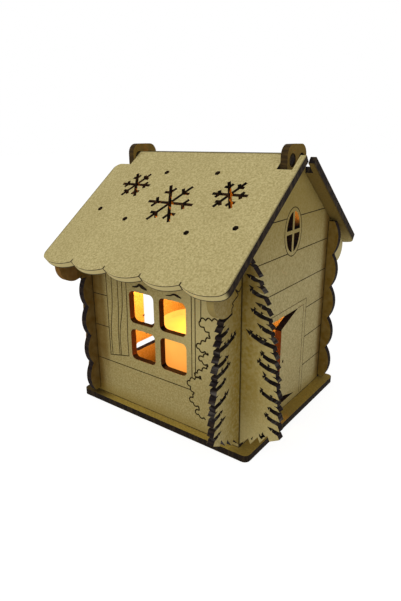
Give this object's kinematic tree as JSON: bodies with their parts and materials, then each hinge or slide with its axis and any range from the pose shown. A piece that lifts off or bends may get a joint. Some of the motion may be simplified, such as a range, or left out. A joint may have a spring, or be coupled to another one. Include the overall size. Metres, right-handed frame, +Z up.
{
  "type": "tealight house",
  "caption": "Small log-cabin lantern of slotted wooden boards with two hinged roof boards, cut-out windows, fir trees at one corner and an electric tealight inside.",
  "frame": {"origin": "on the table under the middle of the base plate", "axes": "+X along the ridge towards the gable with the door, +Y from the front wall to the back wall, +Z up"},
  "size_m": [0.1056, 0.1176, 0.117],
  "materials": {
    "board": "bare fibre board with burnt cut edges",
    "case_plastic": "translucent ivory plastic",
    "inner_plastic": "white plastic",
    "flame_plastic": "translucent amber plastic",
    "lamp_resin": "clear resin",
    "switch_plastic": "black plastic",
    "cell_steel": "plated steel",
    "contact_brass": "spring brass"
  },
  "bodies": {
    "house": {"base_plate": "board", "front_wall": "board", "back_wall": "board", "left_gable": "board", "right_gable": "board"},
    "front_flap": {"front_roof": "board"},
    "back_flap": {"back_roof": "board"},
    "tealight": {"tealight_case": "case_plastic", "tealight_chassis": "inner_plastic", "battery_door": "inner_plastic", "coin_cell": "cell_steel", "top_contact": "contact_brass", "side_contact": "contact_brass", "led": "lamp_resin", "flame": "flame_plastic"},
    "switch": {"switch_slider": "switch_plastic"}
  },
  "joints": [
    {"name": "front_roof_hinge", "type": "hinge", "parent": "house", "child": "front_flap", "pos_m": [0, -0.0038, 0.1111], "axis": [-1, 0, 0], "range_deg": [0, 120]},
    {"name": "back_roof_hinge", "type": "hinge", "parent": "house", "child": "back_flap", "pos_m": [0, 0.0038, 0.1111], "axis": [1, 0, 0], "range_deg": [0, 120]},
    {"name": "tealight_lift", "type": "slide", "parent": "house", "child": "tealight", "axis": [0, 0, 1], "range_m": [0, 0.05]},
    {"name": "switch_slide", "type": "slide", "parent": "tealight", "child": "switch", "axis": [0, 1, 0], "range_m": [0, 0.003]}
  ]
}
